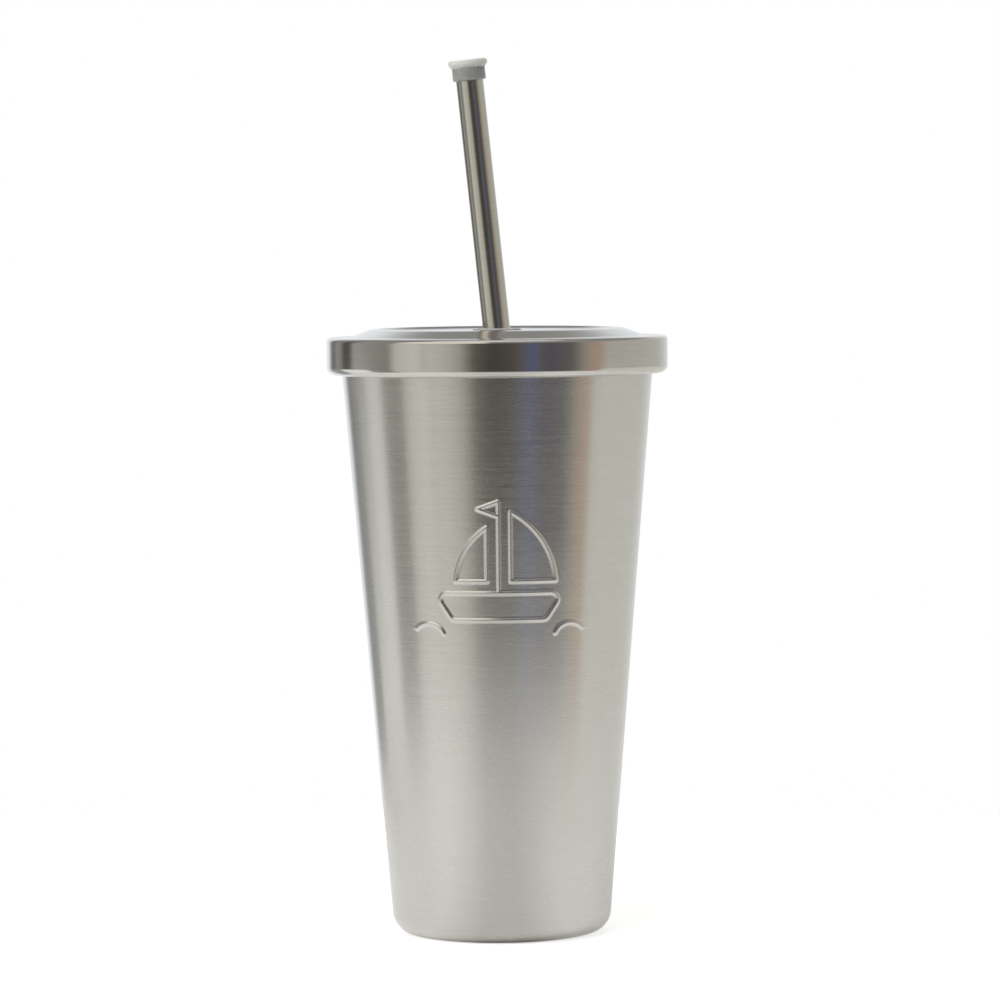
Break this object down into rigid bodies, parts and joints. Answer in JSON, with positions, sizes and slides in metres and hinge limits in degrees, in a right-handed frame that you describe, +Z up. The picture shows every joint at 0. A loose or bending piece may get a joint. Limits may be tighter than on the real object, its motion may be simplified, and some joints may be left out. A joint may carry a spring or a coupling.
{
  "type": "straw tumbler",
  "caption": "Tapered double-wall steel cup with a screw lid in a steel cover and a leaning steel straw that slides in a soft grommet.",
  "frame": {"origin": "on the floor, at the centre of the cup's base", "axes": "+Z up along the cup's axis, -Y out through the embossed boat, -X the way the straw leans"},
  "size_m": [0.1, 0.1, 0.2565],
  "materials": {
    "outer_shell": "fine circumferential brushing",
    "inner_liner": "satin",
    "base_plate": "spun",
    "vacuum_seal": "brazed, dull",
    "getter": "matte",
    "lid_cover": "polished, with fine brushing on the band",
    "lid_insert": "moulded polypropylene",
    "lid_gasket": "silicone",
    "straw_grommet": "translucent silicone",
    "straw_tube": "polished stainless steel",
    "straw_tip": "translucent silicone"
  },
  "bodies": {
    "cup": {"outer_shell": "outer_shell", "inner_liner": "inner_liner", "base_plate": "base_plate", "vacuum_seal": "vacuum_seal", "getter": "getter"},
    "grommet": {"straw_grommet": "straw_grommet"},
    "lid": {"lid_cover": "lid_cover", "lid_insert": "lid_insert", "lid_gasket": "lid_gasket"},
    "straw": {"straw_tube": "straw_tube", "straw_tip": "straw_tip"}
  },
  "joints": [
    {"name": "lid_lift", "type": "slide", "parent": "cup", "child": "grommet", "axis": [0, 0, 1], "range_m": [0, 0.024]},
    {"name": "lid_turn", "type": "hinge", "parent": "grommet", "child": "lid", "pos_m": [0, 0, 0.1752], "axis": [0, 0, 1], "range_deg": [0, 720]},
    {"name": "straw_slide", "type": "slide", "parent": "grommet", "child": "straw", "axis": [-0.0993, 0, 0.9951], "range_m": [-0.0035, 0.161]}
  ],
  "couplings": [
    {"joint": "lid_lift", "follows": "lid_turn", "m_per_rad": 0.0019099}
  ]
}
